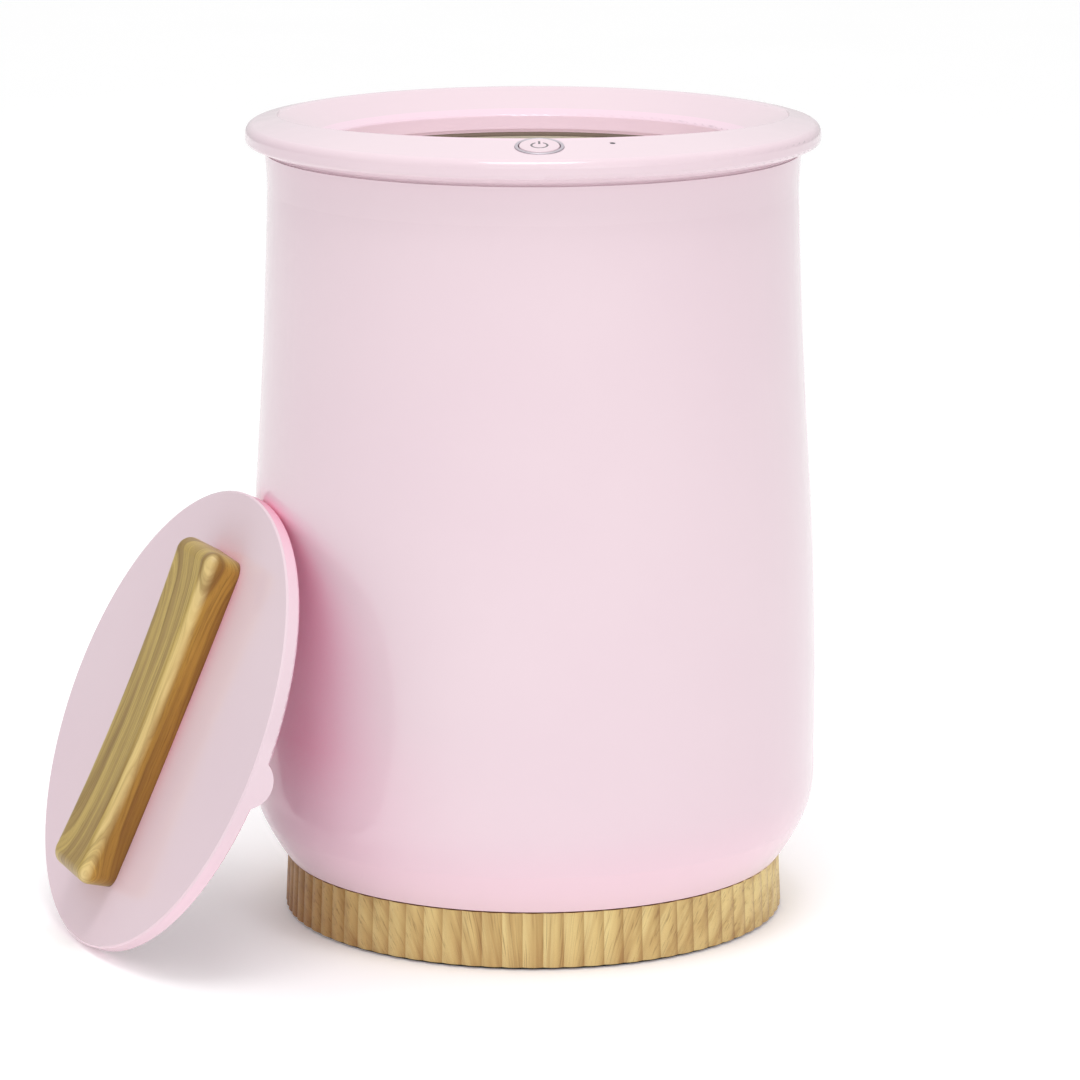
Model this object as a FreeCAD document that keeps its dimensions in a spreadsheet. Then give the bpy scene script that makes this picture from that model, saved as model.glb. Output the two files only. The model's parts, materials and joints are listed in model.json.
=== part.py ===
"""Bucket towel warmer: heated drum on a fluted wooden base ring, with its lid leaning beside it.

Frame: origin on the drum's axis at the surface it stands on, +Z up, control panel towards -Y.
All lengths are millimetres and all angles are degrees.
"""
import FreeCAD, Part
import math
import os
import re

import Sketcher
from FreeCAD import Placement, Rotation, Vector

DIMENSIONS = [
    ("foot_drop", 1.5, "Non-slip ring stands below the wooden ring by"),
    ("ring_top", 30.0, "Height of the ring's top face"),
    ("ring_foot_radius", 132.9, "Ring radius at the bottom, at the crests of the flutes"),
    ("ring_head_radius", 131.6, "Ring radius at the top, at the crests of the flutes"),
    ("ring_bore", 118.0, "Inside radius of the ring"),
    ("ring_rebate", 124.0, "Radius of the rebate that seats the bottom pan"),
    ("flute_count", 78, "Flutes round the ring"),
    ("flute_depth", 0.9, "Depth of the valleys between flutes"),
    ("shell_bottom", 31.0, "Lower edge of the shell"),
    ("shell_top", 406.0, "Upper edge of the shell"),
    ("shell_wall", 3.0, "Wall of the shell"),
    ("shell_foot_radius", 132.4, "Shell radius at its lower edge"),
    ("chine_radius", 145.3, "Shell radius where the foot curve ends"),
    ("chine_height", 52.7, "Height where the foot curve ends"),
    ("belly_radius", 150.0, "Widest shell radius"),
    ("belly_height", 76.0, "Height of the widest place"),
    ("waist_start_radius", 146.4, "Shell radius where the side turns hollow"),
    ("waist_start_height", 231.0, "Height where the side turns hollow"),
    ("neck_radius", 138.8, "Narrowest shell radius, under the rim"),
    ("neck_height", 386.0, "Height of the narrowest place"),
    ("seam_radius", 140.0, "Shell radius at the seam with the rim"),
    ("rim_radius", 150.0, "Outer radius of the rim band"),
    ("rim_shoulder_radius", 145.0, "Radius where the rim's top slope begins"),
    ("rim_shoulder_height", 421.0, "Height where the rim's top slope begins"),
    ("panel_slope", 0.195, "Rise of the rim's top per millimetre inwards"),
    ("crest_radius", 138.0, "Radius of the crest between rim and funnel"),
    ("ledge_radius", 113.0, "Radius of the funnel's lower edge"),
    ("ledge_height", 410.0, "Height of the funnel's lower edge"),
    ("throat_radius", 112.5, "Inside radius of the throat"),
    ("throat_bottom", 402.0, "Lower edge of the throat"),
    ("land_bottom", 400.0, "Underside of the land that seals on the chamber"),
    ("land_radius", 123.0, "Outside radius of that land"),
    ("skin", 2.5, "Wall of the rim moulding"),
    ("panel_arc_radius", 134.0, "Radius of the panel's inner edge, seen from above"),
    ("panel_arc_back", 20.5, "Centre of that arc, behind the drum's axis"),
    ("panel_round", 1.0, "Rounding of the panel's inner edge"),
    ("collar_screw_circle", 132.0, "Radius of the circle of collar screws"),
    ("chamber_screw_circle", 119.3, "Radius of the circle of chamber screws"),
    ("ring_screw_circle", 126.0, "Radius of the circle of base screws"),
    ("ring_screw_seat", 18.0, "Height of the seats of the base screws' heads"),
    ("chamber_radius", 114.0, "Inside radius of the heated chamber"),
    ("chamber_sheet", 1.0, "Sheet thickness of the chamber wall"),
    ("chamber_bottom", 71.2, "Height of the chamber floor's upper face"),
    ("chamber_foot", 64.0, "Lower edge of the chamber wall, below its floor"),
    ("chamber_top", 398.0, "Height of the chamber's flange"),
    ("floor_sheet", 1.2, "Sheet thickness of the chamber floor"),
    ("heater_bottom", 110.0, "Lower edge of the heater band"),
    ("heater_top", 330.0, "Upper edge of the heater band"),
    ("heater_sheet", 1.5, "Thickness of the heater band"),
    ("blanket_bottom", 88.0, "Lower edge of the insulation"),
    ("blanket_top", 388.0, "Upper edge of the insulation"),
    ("blanket_outer", 124.5, "Outside radius of the insulation"),
    ("board_height", 40.0, "Height of the power board's lower face"),
    ("inlet_height", 95.0, "Height of the power inlet's centre"),
    ("inlet_face", 150.9, "Distance of the inlet's flat pad behind the axis"),
    ("button_across", 3.3, "Power button centre, to the right of the middle"),
    ("button_front", 127.0, "Power button centre, in front of the axis"),
    ("button_radius", 10.2, "Radius of the button's cap"),
    ("bezel_radius", 12.5, "Outside radius of the ring round the button"),
    ("button_travel", 0.5, "Travel of the power button"),
    ("lens_across", 39.7, "Indicator lens centre, to the right of the middle"),
    ("lens_front", 118.0, "Indicator lens centre, in front of the axis"),
    ("control_board_drop", 11.5, "Control board's upper face below the panel's outer face"),
    ("lid_radius", 124.5, "Radius of the lid"),
    ("lid_face", 3.4, "Thickness of the lid's face at its edge"),
    ("lid_dish", 1.5, "Depth of the slight hollow in the lid's face"),
    ("lid_band", 8.0, "Depth of the lid's side band"),
    ("lid_lug", 14.0, "Depth of the lid's lugs from its face"),
    ("lug_round", 14.0, "Radius of the lugs' rounded outline"),
    ("handle_length", 187.0, "Length of the lid's handle"),
    ("handle_foot_width", 43.2, "Width of the handle at the lid's face"),
    ("handle_splay", 13.0, "Outward slant of the handle's long sides"),
    ("handle_end_slant", 2.5, "How far each end of the handle leans out"),
    ("handle_end_height", 20.5, "Height of the handle at its ends"),
    ("handle_middle_height", 17.2, "Height of the handle in the middle"),
    ("handle_corner", 7.6, "Rounding of the handle's four corners"),
    ("handle_round", 7.0, "Rounding of the handle's upper edges"),
    ("lid_lean", 66.6, "Lean of the leaning lid from lying flat"),
    ("lid_bearing", 25.3, "Bearing of the leaning lid, from the left side towards the front"),
    ("lid_roll", -2.7, "Turn of the lid about its own axis"),
    ("lid_left", 193.45, "Leaning lid's face centre, to the left of the axis"),
    ("lid_front", 65.1, "Leaning lid's face centre, in front of the axis"),
    ("lid_height", 116.97, "Leaning lid's face centre, above the floor"),
]
ALIASES = {alias for alias, value, note in DIMENSIONS}
UP = Vector(0, 0, 1)

doc = FreeCAD.newDocument("TowelWarmer")
sheet = doc.addObject("Spreadsheet::Sheet", "Dims")
for line, (alias, value, note) in enumerate(DIMENSIONS, start=1):
    sheet.set(f"A{line}", note)
    sheet.set(f"B{line}", str(value))
    sheet.setAlias(f"B{line}", alias)
doc.recompute()

parts = []


# ---------------------------------------------------------------- small helpers

def bind(text):
    """The expression with every sheet alias written as Dims.alias."""
    return re.sub(r"[a-z_]+", lambda m: "Dims." + m[0] if m[0] in ALIASES else m[0], str(text))


def size(text):
    """The number that an expression over the sheet stands for."""
    return float(sheet.evalExpression(bind(text)))


def at(x=0.0, y=0.0, z=0.0, rotation=None):
    return Placement(Vector(x, y, z), rotation or Rotation())


def keep(item, label, placement=None):
    """Name a finished sub-part and put it in its place."""
    item.Label = label
    if placement is not None:
        item.Placement = placement
    parts.append(item)
    return item


def origin_plane(body, role):
    return next(f for f in body.Origin.OriginFeatures if f.Role == role)


def arc_between(start, end, radius):
    """Arc from start to end: a positive radius bends it to the left of the chord, a negative to the right."""
    chord = end - start
    middle = (start + end) / 2
    reach = math.sqrt(radius * radius - chord.Length ** 2 / 4)
    across = Vector(-chord.y, chord.x, 0).normalize()
    side = 1 if radius > 0 else -1
    centre = middle - across * reach * side
    first = math.atan2(start.y - centre.y, start.x - centre.x)
    last = math.atan2(end.y - centre.y, end.x - centre.x)
    circle = Part.Circle(centre, UP, abs(radius))
    if side > 0:
        return Part.ArcOfCircle(circle, last, first), 2, 1
    return Part.ArcOfCircle(circle, first, last), 1, 2


def outline_sketch(body, corners, plane="XZ_Plane"):
    """A closed, fully sized sketch. A corner is (across, up) or (across, up, radius of the arc to it)."""
    sketch = body.newObject("Sketcher::SketchObject", body.Name + "_outline")
    sketch.AttachmentSupport = [(origin_plane(body, plane), "")]
    sketch.MapMode = "FlatFace"
    points = [Vector(size(corner[0]), size(corner[1]), 0) for corner in corners]
    ends = []
    for index, corner in enumerate(corners):
        start, end = points[index - 1], points[index]
        if len(corner) > 2:
            curve, first, last = arc_between(start, end, size(corner[2]))
        else:
            curve, first, last = Part.LineSegment(start, end), 1, 2
        sketch.addGeometry(curve, False)
        ends.append((first, last))
    for index, corner in enumerate(corners):
        follower = (index + 1) % len(corners)
        last = ends[index][1]
        sketch.addConstraint(Sketcher.Constraint("Coincident", index, last, follower, ends[follower][0]))
        for kind, value in (("DistanceX", corner[0]), ("DistanceY", corner[1])):
            tie = sketch.addConstraint(Sketcher.Constraint(kind, -1, 1, index, last, size(value)))
            sketch.setExpression(f"Constraints[{tie}]", bind(value))
        if len(corner) > 2:
            reach = abs(size(corner[2]))
            tie = sketch.addConstraint(Sketcher.Constraint("Radius", index, reach))
            sketch.setExpression(f"Constraints[{tie}]", f"abs({bind(corner[2])})")
    return sketch


def turned(name, corners):
    """A body of revolution about the vertical axis; corners are (radius, height)."""
    body = doc.addObject("PartDesign::Body", name)
    sketch = outline_sketch(body, corners)
    turn = body.newObject("PartDesign::Revolution", name + "_turn")
    turn.Profile = sketch
    turn.ReferenceAxis = (sketch, ["V_Axis"])
    turn.Angle = 360
    return body


def plate(name, corners, thickness, plane="XY_Plane"):
    """A body padded from a closed outline, half to each side of its plane."""
    body = doc.addObject("PartDesign::Body", name)
    sketch = outline_sketch(body, corners, plane)
    pad = body.newObject("PartDesign::Pad", name + "_pad")
    pad.Profile = sketch
    pad.Midplane = True
    pad.setExpression("Length", bind(thickness))
    return body


def cylinder(name, radius, height, placement):
    item = doc.addObject("Part::Cylinder", name)
    item.setExpression("Radius", bind(radius))
    item.setExpression("Height", bind(height))
    item.Placement = placement
    return item


def block(name, length, width, height, placement):
    """A box centred on its placement in plan, standing on it in height."""
    item = doc.addObject("Part::Box", name)
    item.setExpression("Length", bind(length))
    item.setExpression("Width", bind(width))
    item.setExpression("Height", bind(height))
    item.Placement = placement.multiply(at(-size(length) / 2, -size(width) / 2, 0))
    return item


def fused(name, items):
    item = doc.addObject("Part::MultiFuse", name)
    item.Shapes = items
    return item


def cut(name, base, tool):
    item = doc.addObject("Part::Cut", name)
    item.Base = base
    item.Tool = tool
    return item


def common(name, items):
    item = doc.addObject("Part::MultiCommon", name)
    item.Shapes = items
    return item


def ring_places(radius, count, first_angle, height=0.0):
    """Placements round the drum, each turned so that its own X points outwards."""
    places = []
    for step in range(count):
        angle = first_angle + step * 360.0 / count
        turn = Rotation(UP, angle)
        spot = turn.multVec(Vector(radius, 0, 0))
        places.append(at(spot.x, spot.y, height, turn))
    return places


def group(label, shape, places):
    """Identical pieces in one node: one solid at each place."""
    item = doc.addObject("Part::Feature", label)
    item.Shape = Part.makeCompound([shape.transformed(place.toMatrix()) for place in places])
    return keep(item, label)


def pan_screw(shaft_radius, shaft_length, head_radius, head_height):
    """Pan-head screw pointing up: the head hangs below its seat at height 0, with a cross recess."""
    shaft = Part.makeCylinder(shaft_radius, shaft_length)
    head = Part.makeCylinder(head_radius, head_height, Vector(0, 0, -head_height))
    rim = [edge for edge in head.Edges if abs(edge.BoundBox.ZMax + head_height) < 0.001]
    head = head.makeFillet(head_height * 0.4, rim)
    arm, slot = head_radius * 1.1, head_radius * 0.26
    deep = head_height * 0.55
    recess = Part.makeBox(arm, slot, deep, Vector(-arm / 2, -slot / 2, -head_height))
    recess = recess.fuse(Part.makeBox(slot, arm, deep, Vector(-slot / 2, -arm / 2, -head_height)))
    return shaft.fuse(head).cut(recess).removeSplitter()


def tube(label, points, radius, bend):
    """A round lead along straight runs joined by tangent arcs of radius bend."""
    corners = [Vector(*point) for point in points]
    edges = []
    start = corners[0]
    for before, corner, after in zip(corners, corners[1:], corners[2:]):
        inward = (before - corner).normalize()
        outward = (after - corner).normalize()
        half_turn = (math.pi - inward.getAngle(outward)) / 2
        setback = bend * math.tan(half_turn)
        arc_start = corner + inward * setback
        arc_end = corner + outward * setback
        towards_centre = (inward + outward).normalize()
        middle = corner + towards_centre * (bend / math.cos(half_turn) - bend)
        edges.append(Part.LineSegment(start, arc_start).toShape())
        edges.append(Part.Arc(arc_start, middle, arc_end).toShape())
        start = arc_end
    edges.append(Part.LineSegment(start, corners[-1]).toShape())
    path = Part.Wire(edges)
    section = Part.Wire(Part.makeCircle(radius, corners[0], corners[1] - corners[0]))
    item = doc.addObject("Part::Feature", label)
    item.Shape = path.makePipeShell([section], True, True)
    return keep(item, label)


# ---------------------------------------------------------------- surfaces that several pieces share

def rim_slope(radius):
    """Height of the rim's sloping top at a radius."""
    return f"(rim_shoulder_height + (rim_shoulder_radius - ({radius})) * panel_slope)"


def funnel_slope(radius):
    """Height of the funnel at a radius."""
    rise = f"({rim_slope('crest_radius')} - ledge_height) / (crest_radius - ledge_radius)"
    return f"(ledge_height + (({radius}) - ledge_radius) * {rise})"


def panel_frame():
    """On the panel at the power button: own Z out of the panel, own X to the right."""
    across, front = size("button_across"), size("button_front")
    reach = math.hypot(across, front)
    height = size(rim_slope(reach))
    bearing = math.degrees(math.atan2(across, front))
    tilt = math.degrees(math.atan(size("panel_slope")))
    return at(across, -front, height, Rotation(UP, bearing).multiply(Rotation(Vector(1, 0, 0), tilt)))


def lid_frame():
    """The leaning lid: own Z out of its face, own -X up the face."""
    lean = Rotation(Vector(0, 1, 0), size("lid_lean"))
    bearing = Rotation(UP, 180 + size("lid_bearing"))
    roll = Rotation(UP, size("lid_roll"))
    turn = bearing.multiply(lean).multiply(roll)
    return at(-size("lid_left"), -size("lid_front"), size("lid_height"), turn)


PANEL = panel_frame()
LID = lid_frame()
FIRST_SCREW_ANGLE = 0.0
SCREW_COUNT = 6


# ---------------------------------------------------------------- wooden base ring

def fluted_wire(radius, height):
    """Closed outline of shallow convex flutes, each an arc between two valleys."""
    count = int(size("flute_count"))
    valley = radius - size("flute_depth")
    step = 2 * math.pi / count
    edges = []
    for index in range(count):
        spots = []
        for turn, reach in ((index, valley), (index + 0.5, radius), (index + 1, valley)):
            spots.append(Vector(reach * math.cos(turn * step), reach * math.sin(turn * step), height))
        edges.append(Part.Arc(*spots).toShape())
    return Part.Wire(edges)


def make_base_ring():
    feet = fluted_wire(size("ring_foot_radius"), size("foot_drop"))
    head = fluted_wire(size("ring_head_radius"), size("ring_top"))
    block_out = doc.addObject("Part::Feature", "ring_blank")
    block_out.Shape = Part.makeLoft([feet, head], True, True)
    cutters = [cylinder("ring_bore_cut", "ring_bore", "ring_top + 2", at())]
    cutters.append(cylinder("ring_rebate_cut", "ring_rebate", 5, at(z=size("ring_top - 2"))))
    for place in ring_places(size("ring_screw_circle"), SCREW_COUNT, FIRST_SCREW_ANGLE):
        cutters.append(cylinder("ring_screw_hole", 2.25, "ring_top + 2", place))
        cutters.append(cylinder("ring_counterbore", 4.25, "ring_screw_seat", place))
    groove = turned("ring_groove", [
        ("ring_bore + 2", 0), ("ring_bore + 12.5", 0), ("ring_bore + 12.5", "foot_drop + 1"),
        ("ring_bore + 2", "foot_drop + 1")])
    cutters.append(groove)
    keep(cut("base_ring", block_out, fused("ring_cutters", cutters)), "base_ring")


def make_non_slip_ring():
    """Rubber ring in a groove under the base, which also hides the base screws."""
    ring = turned("rubber_ring", [
        ("ring_bore + 2", 0.5), ("ring_bore + 2.5", 0, -0.5), ("ring_bore + 12", 0),
        ("ring_bore + 12.5", 0.5, -0.5), ("ring_bore + 12.5", "foot_drop + 1"),
        ("ring_bore + 2", "foot_drop + 1")])
    keep(ring, "non_slip_ring")


def make_ring_screws():
    screw = pan_screw(2.0, size("shell_bottom - ring_screw_seat") + 8, 3.75, 2.6)
    places = ring_places(size("ring_screw_circle"), SCREW_COUNT, FIRST_SCREW_ANGLE, size("ring_screw_seat"))
    group("base_ring_screws", screw, places)


# ---------------------------------------------------------------- bottom pan, power board

def make_bottom_pan():
    disc = turned("pan_disc", [
        (0, "ring_top - 2"), ("ring_rebate - 0.4", "ring_top - 2"), ("ring_rebate - 0.4", "ring_top"),
        ("shell_foot_radius - 3", "ring_top"), ("shell_foot_radius - 3", "shell_bottom"),
        (0, "shell_bottom")])
    posts = [disc]
    for x in (-42, 42):
        for y in (-26, 26):
            posts.append(cylinder("board_post", 3.5, "board_height - ring_top", at(x, y, size("ring_top"))))
    holes = []
    for place in ring_places(size("ring_screw_circle"), SCREW_COUNT, FIRST_SCREW_ANGLE, size("ring_top - 5")):
        holes.append(cylinder("pan_screw_hole", 2.25, 10, place))
    for x in (-42, 42):
        for y in (-26, 26):
            holes.append(cylinder("post_pilot", 1.25, 8, at(x, y, size("board_height - 7.5"))))
    keep(cut("bottom_pan", fused("pan_with_posts", posts), fused("pan_holes", holes)), "bottom_pan")


def make_power_board():
    height = size("board_height")
    sheet_board = block("board_sheet", 96, 64, 1.6, at(0, 0, height))
    holes = [cylinder("board_hole", 1.6, 4, at(x, y, height - 1)) for x in (-42, 42) for y in (-26, 26)]
    keep(cut("power_board", sheet_board, fused("board_holes", holes)), "power_board")
    top = height + 1.6
    keep(block("board_transformer", 30, 26, 21, at(-24, 8, top)), "board_transformer")
    keep(block("board_relay", 19, 15.5, 15.5, at(14, -14, top)), "board_relay")
    keep(block("board_capacitor", 18, 8, 14, at(-16, -20, top)), "board_capacitor")
    housing = block("terminal_housing", 40, 12, 13, at(16, 20, top))
    mouths = [block("terminal_mouth", 4, 6, 5, at(0 + 8 * way, 25, top + 3)) for way in range(5)]
    keep(cut("terminal_block", housing, fused("terminal_mouths", mouths)), "terminal_block")
    screw = pan_screw(1.2, 6.5, 2.6, 1.6)
    turned_over = Rotation(Vector(1, 0, 0), 180)
    places = [at(x, y, top, turned_over) for x in (-42, 42) for y in (-26, 26)]
    group("power_board_screws", screw, places)


# ---------------------------------------------------------------- outer shell

def shell_side(offset, base_height, base_radius):
    """The shell's barrel outline from its foot up to the seam, moved inwards by offset."""
    return [
        (base_radius, base_height),
        (f"chine_radius - {offset}", "chine_height", f"-(121 - {offset})"),
        (f"belly_radius - {offset}", "belly_height", f"-(60 - {offset})"),
        (f"waist_start_radius - {offset}", "waist_start_height", f"-(2000 - {offset})"),
        (f"neck_radius - {offset}", "neck_height", f"3500 + {offset}"),
        (f"seam_radius - {offset}", "shell_top", f"170 + {offset}"),
    ]


def make_shell():
    outside = shell_side("0", "shell_bottom", "shell_foot_radius")
    inside = shell_side("shell_wall", "shell_bottom + 3", "shell_foot_radius - 1")
    inside_end = (inside[-1][0], "shell_top - 3")
    loop = [("ring_bore + 3", "shell_bottom")] + outside
    loop += [("land_radius + 3", "shell_top"), ("land_radius + 3", "shell_top - 3"), inside_end]
    way_down = []
    for upper, lower in zip(reversed(inside[1:-1]), reversed(inside[2:])):
        radius = lower[2]
        flipped = radius[1:] if radius.startswith("-") else f"-({radius})"
        way_down.append((upper[0], upper[1], flipped))
    way_down.append((inside[0][0], inside[0][1], inside[1][2][1:]))
    loop += way_down + [("ring_bore + 3", "shell_bottom + 3")]
    barrel = turned("shell_barrel", loop)
    bosses = [barrel]
    for place in ring_places(size("ring_screw_circle"), SCREW_COUNT, FIRST_SCREW_ANGLE, size("shell_bottom + 1")):
        bosses.append(cylinder("foot_boss", 4.2, 10, place))
    face = size("inlet_face")
    pad = block("inlet_pad", 36, 8, 26, at(0, face - 4, size("inlet_height - 13")))
    bosses.append(pad)
    holes = []
    for place in ring_places(size("ring_screw_circle"), SCREW_COUNT, FIRST_SCREW_ANGLE, size("shell_bottom - 2")):
        holes.append(cylinder("foot_pilot", 2.0, 10.5, place))
    for place in ring_places(size("collar_screw_circle"), SCREW_COUNT, FIRST_SCREW_ANGLE, size("shell_top - 5")):
        holes.append(cylinder("neck_screw_hole", 2.0, 8, place))
    opening = block("inlet_opening", 24.4, 20, 16.4, at(0, face - 4, size("inlet_height - 8.2")))
    holes.append(opening)
    keep(cut("outer_shell", fused("shell_with_bosses", bosses), fused("shell_holes", holes)), "outer_shell")


# ---------------------------------------------------------------- rim collar with its control panel

def panel_cylinder(name, extra):
    """Upright cylinder inside the panel's inner edge, grown outwards by extra."""
    return cylinder(name, f"panel_arc_radius + {extra}", 100, at(0, size("panel_arc_back"), 350))


def make_collar():
    drop = 2.85
    funnel_drop = 2.8
    solid_ring = turned("collar_blank", [
        ("throat_radius", "throat_bottom"), ("throat_radius + skin", "throat_bottom"),
        ("throat_radius + skin", "land_bottom"), ("land_radius", "land_bottom"),
        ("land_radius", "shell_top"), ("seam_radius - 1", "shell_top"),
        ("seam_radius - 1", "shell_top + 1.2"), ("seam_radius + 0.2", "shell_top + 1.2"),
        ("rim_radius - 2.4", "shell_top + 4.3"), ("rim_radius", "shell_top + 6.9", -2.8),
        ("rim_radius", "rim_shoulder_height - 4.6"),
        ("rim_shoulder_radius + 0.6", rim_slope("rim_shoulder_radius + 0.6"), -4.9),
        ("throat_radius", rim_slope("throat_radius"))])
    start, end = "crest_radius - 2.42", "crest_radius + 2.65"
    funnel_cutter = turned("funnel_cutter", [
        (0, "throat_bottom - 10"), ("throat_radius", "throat_bottom - 10"),
        ("throat_radius", "ledge_height - 1.0"),
        ("throat_radius + 1.4", funnel_slope("throat_radius + 1.4"), 2.0),
        (start, funnel_slope(start)), (end, rim_slope(end), 8.0),
        (end, "rim_shoulder_height + 20"), (0, "rim_shoulder_height + 20")])
    funnel_void = common("funnel_void", [funnel_cutter, panel_cylinder("funnel_limit", "0")])
    inner, outer = "throat_radius + skin", "rim_radius - 2.8"
    shelf = [("seam_radius - 3.2", "shell_top + 3.3"), ("rim_radius - 4", "shell_top + 7"),
             (outer, "shell_top + 8.2"), (outer, "rim_shoulder_height - 4.4"),
             ("rim_shoulder_radius - 0.4", rim_slope("rim_shoulder_radius - 0.4") + f" - {drop}")]
    under_funnel = turned("under_funnel", [
        (inner, "land_bottom + 2.5"), ("land_radius + 1", "land_bottom + 2.5"),
        ("land_radius + 1", "land_bottom - 1"), ("seam_radius - 3.2", "land_bottom - 1")] + shelf + [
        ("crest_radius - 0.5", rim_slope("crest_radius - 0.5") + f" - {drop}"),
        (inner, funnel_slope(inner) + f" - {funnel_drop}")])
    under_panel = turned("under_panel", [(inner, "shell_top + 3.3")] + shelf + [
        (inner, rim_slope(inner) + f" - {drop}")])
    under_panel_void = cut("under_panel_void", under_panel, panel_cylinder("panel_skirt", "skin"))
    shape = cut("collar_outside", solid_ring, funnel_void)
    shape = cut("collar_hollow", shape, fused("collar_voids", [under_funnel, under_panel_void]))
    posts = [shape]
    places = ring_places(size("collar_screw_circle"), SCREW_COUNT, FIRST_SCREW_ANGLE, size("shell_top"))
    for place in places:
        under_the_panel = place.Base.y < -size("collar_screw_circle") / 2.1
        top = size(rim_slope("collar_screw_circle")) - 1.6 if under_the_panel else size("shell_top + 11")
        posts.append(cylinder("collar_boss", 3.5, top - size("shell_top"), place))
    for place in ring_places(size("chamber_screw_circle"), SCREW_COUNT, FIRST_SCREW_ANGLE, size("land_bottom + 1")):
        posts.append(cylinder("chamber_boss", 3.2, "ledge_height - land_bottom - 2", place))
    for x, y in BOARD_POSTS:
        place = PANEL.multiply(at(x, y, -size("control_board_drop")))
        posts.append(cylinder("panel_post", 2.6, "control_board_drop - 1.5", place))
    holes = []
    for place in places:
        holes.append(cylinder("collar_pilot", 1.75, 10.5, place.multiply(at(z=-0.5))))
    for place in ring_places(size("chamber_screw_circle"), SCREW_COUNT, FIRST_SCREW_ANGLE, size("land_bottom - 1")):
        holes.append(cylinder("chamber_pilot", 1.5, 8.6, place))
    for x, y in BOARD_POSTS:
        place = PANEL.multiply(at(x, y, -size("control_board_drop") - 0.5))
        holes.append(cylinder("panel_pilot", 1.0, 6.5, place))
    holes.append(cylinder("bezel_seat", "bezel_radius", 5, PANEL.multiply(at(z=-0.9))))
    holes.append(cylinder("button_hole", "button_radius + 0.4", 12, PANEL.multiply(at(z=-8))))
    holes.append(cylinder("lens_hole", 1.5, 12, PANEL.multiply(lens_place(-8))))
    return cut("collar_body", fused("collar_with_bosses", posts), fused("collar_holes", holes))


def finish_collar(rough):
    """Round the exposed inner edge of the control panel."""
    doc.recompute()
    radius, back = size("panel_arc_radius"), size("panel_arc_back")
    chosen = []
    for number, edge in enumerate(rough.Shape.Edges, start=1):
        middle = edge.valueAt((edge.FirstParameter + edge.LastParameter) / 2)
        on_arc = abs(math.hypot(middle.x, middle.y - back) - radius) < 0.05
        on_slope = abs(middle.z - size(rim_slope(math.hypot(middle.x, middle.y)))) < 0.05
        if on_arc and on_slope and edge.Length > 5:
            chosen.append(number)
    rounded = doc.addObject("Part::Fillet", "collar_rounded")
    rounded.Base = rough
    reach = size("panel_round")
    rounded.Edges = [(number, reach, reach) for number in chosen]
    keep(rounded, "top_collar")


def make_collar_screws():
    screw = pan_screw(1.75, 12, 3.4, 2.4)
    places = ring_places(size("collar_screw_circle"), SCREW_COUNT, FIRST_SCREW_ANGLE, size("shell_top - 3"))
    group("collar_screws", screw, places)


# ---------------------------------------------------------------- control panel pieces

BOARD_POSTS = [(-15.2, 1.5), (21.0, -4.0), (38.5, 2.5)]


def lens_place(height):
    """Place in the panel's frame under the indicator lens, at a height along the panel's own Z."""
    across, front = size("lens_across"), size("lens_front")
    spot = Vector(across, -front, size(rim_slope(math.hypot(across, front))))
    local = PANEL.inverse().multVec(spot)
    return at(local.x, local.y, local.z + height)


def make_panel_pieces():
    drop = size("control_board_drop")
    ring = turned("bezel_ring", [
        ("button_radius + 0.4", -0.9), ("bezel_radius - 0.1", -0.9), ("bezel_radius - 0.1", 0.1),
        ("bezel_radius - 0.5", 0.5, -0.4), ("button_radius + 0.8", 0.5),
        ("button_radius + 0.4", 0.1, -0.4)])
    keep(ring, "button_bezel", PANEL)
    cap = turned("button_cap", [
        (0, -6.0), (2.5, -6.0), (2.5, -4.4), ("button_radius", -4.4), ("button_radius", 0.1),
        ("button_radius - 0.7", 0.8, -0.7), (0, 0.6)])
    wings = block("button_wings", "2 * button_radius + 3", 9, 1.1, at(z=-4.4))
    keep(fused("button_with_wings", [cap, wings]), "power_button", PANEL)
    plunger = cylinder("plunger_rod", 1.7, 3.2, PANEL.multiply(at(z=-9.2)))
    keep(plunger, "switch_plunger")
    case = block("switch_case", 6.2, 6.2, 3.7, PANEL.multiply(at(z=-drop)))
    well = cylinder("switch_well", 1.8, 4, PANEL.multiply(at(z=-drop + 1.2)))
    keep(cut("tact_switch", case, well), "tact_switch")
    board = plate("board_outline", [
        (-18.5, -8), (25, -8), (43, -3), (43, 11), (22, 9), (-18.5, 6.5)], 1.6)
    board.Placement = PANEL.multiply(at(z=-drop - 0.8))
    holes = [cylinder("control_hole", 1.1, 4, PANEL.multiply(at(x, y, -drop - 3))) for x, y in BOARD_POSTS]
    keep(cut("control_board", board, fused("control_holes", holes)), "control_board")
    screw = pan_screw(1.0, 5.5, 2.0, 1.3)
    places = [PANEL.multiply(at(x, y, -drop - 1.6)) for x, y in BOARD_POSTS]
    group("control_board_screws", screw, places)
    spot = lens_place(0).Base
    led_height = 1.0
    led = block("led_case", 3.0, 1.8, led_height, PANEL.multiply(at(spot.x, spot.y, -drop)))
    keep(led, "indicator_led")
    pipe_length = spot.z + drop - led_height - 0.3
    lens = turned("lens_pipe", [
        (0, 0), (1.5, 0), (1.5, pipe_length), (0, pipe_length + 0.5, -2.5)])
    keep(lens, "indicator_lens", PANEL.multiply(at(spot.x, spot.y, -drop + led_height + 0.1)))


# ---------------------------------------------------------------- heated chamber

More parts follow.
